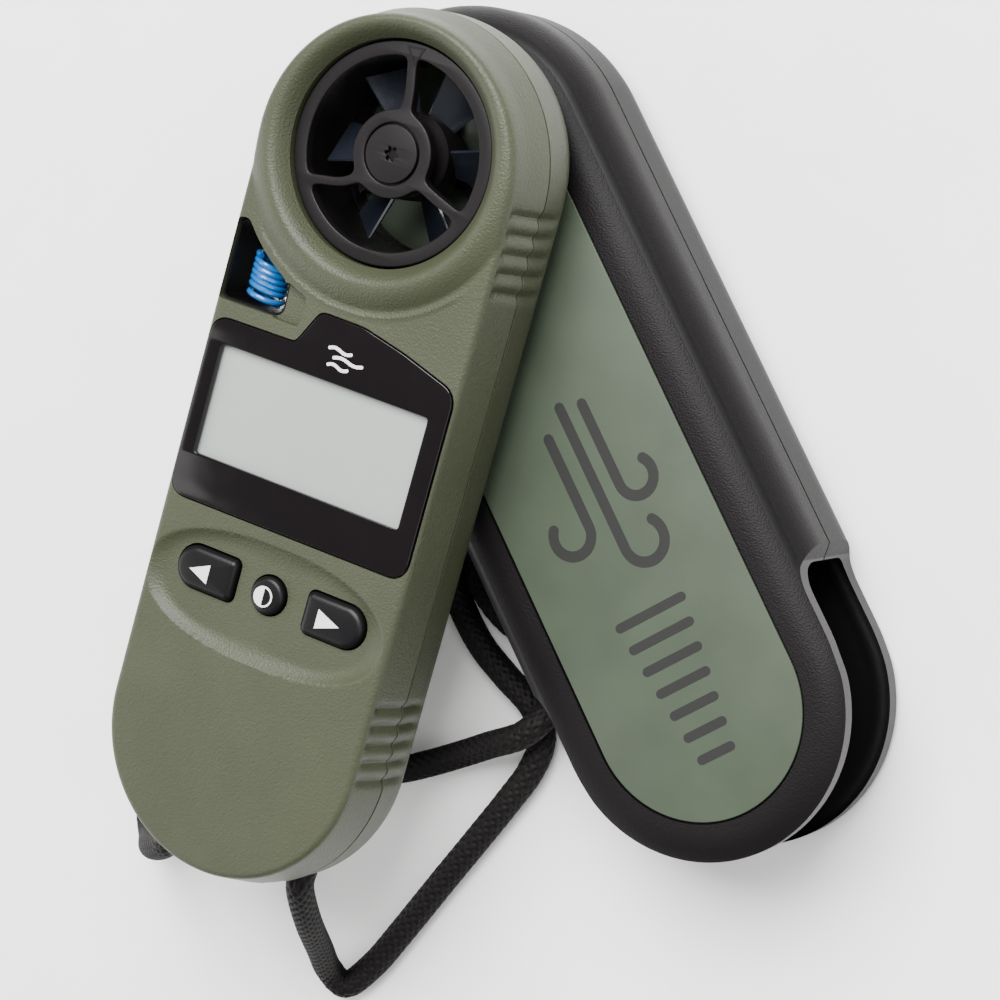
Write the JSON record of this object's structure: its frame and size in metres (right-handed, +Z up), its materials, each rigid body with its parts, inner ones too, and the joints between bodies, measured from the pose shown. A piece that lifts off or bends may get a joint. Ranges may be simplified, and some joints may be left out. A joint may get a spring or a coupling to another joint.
{
  "type": "handheld weather meter",
  "caption": "Pocket vane anemometer and thermometer with a display, keys and neck lanyard, lying on its slip-on hard cover",
  "frame": {"origin": "centre of the footprint of the meter and its cover, on the surface they lie on; the free cord and its hank are not counted", "axes": "+Z up out of the meter's face, +Y along the meter towards its impeller, +X to its right"},
  "size_m": [0.1114, 0.1437, 0.0397],
  "materials": {
    "olive_shell": "fine-grained moulded plastic, satin",
    "black_plastic": "satin",
    "grained_black": "leather-grained moulded plastic",
    "key_rubber": "smooth satin",
    "lens": "polished",
    "lcd": "polarised grey-green",
    "white_plastic": "satin",
    "board": "solder mask",
    "steel": "bright",
    "blade": "dark translucent",
    "jewel": "polished",
    "blue_wire": "enamelled wire",
    "cover_inlay": "satin, embossed",
    "seal_rubber": "matt",
    "cord": "braided"
  },
  "bodies": {
    "meter": {"front_housing": "olive_shell", "rear_housing": "olive_shell", "housing_gasket": "seal_rubber", "display_lens": "lens", "lcd_glass": "lcd", "lcd_frame": "white_plastic", "backlight_panel": "white_plastic", "zebra_connector": "seal_rubber", "circuit_board": "board", "processor_chip": "black_plastic", "pressure_sensor": "steel", "keypad_mat": "key_rubber", "impeller_frame_front": "black_plastic", "impeller_frame_rear": "black_plastic", "hub_cap": "black_plastic", "front_jewel_bearing": "jewel", "rear_jewel_bearing": "jewel", "temperature_sensor_coil": "blue_wire", "thermistor_bead": "seal_rubber", "battery_cell": "steel", "battery_contact_spring": "steel", "battery_contact_plate": "steel", "housing_screw_1": "steel", "housing_screw_2": "steel", "housing_screw_3": "steel", "housing_screw_4": "steel", "lanyard_cord": "cord", "lanyard_hank": "cord", "hank_tie": "seal_rubber", "lanyard_cord_return": "cord"},
    "impeller": {"impeller_rotor": "blade", "impeller_axle": "steel", "impeller_magnet": "steel"},
    "left_key": {"left_button": "key_rubber"},
    "middle_key": {"backlight_button": "key_rubber"},
    "right_key": {"right_button": "key_rubber"},
    "door_lift": {"battery_door_seal": "seal_rubber"},
    "door": {"battery_door": "olive_shell"},
    "cover": {"cover_front_shell": "grained_black", "cover_rear_shell": "grained_black", "cover_inlay": "cover_inlay"}
  },
  "joints": [
    {"name": "impeller_spin", "type": "hinge", "parent": "meter", "child": "impeller", "pos_m": [-0.02713, 0.04055, 0.0301], "axis": [0, 0, 1], "continuous": true},
    {"name": "left_button_press", "type": "slide", "parent": "meter", "child": "left_key", "axis": [0, 0, -1], "range_m": [0, 0.0006], "stiffness_N_per_m": 350},
    {"name": "backlight_button_press", "type": "slide", "parent": "meter", "child": "middle_key", "axis": [0, 0, -1], "range_m": [0, 0.0006], "stiffness_N_per_m": 350},
    {"name": "right_button_press", "type": "slide", "parent": "meter", "child": "right_key", "axis": [0, 0, -1], "range_m": [0, 0.0006], "stiffness_N_per_m": 350},
    {"name": "battery_door_lift", "type": "slide", "parent": "meter", "child": "door_lift", "axis": [0, 0, -1], "range_m": [0, 0.01]},
    {"name": "battery_door_turn", "type": "hinge", "parent": "door_lift", "child": "door", "pos_m": [-0.02713, -0.03195, 0.0243], "axis": [0, 0, -1], "range_deg": [0, 60]},
    {"name": "cover_slide", "type": "slide", "parent": "meter", "child": "cover", "axis": [0.7071, -0.7071, 0], "range_m": [0, 0.11]}
  ]
}
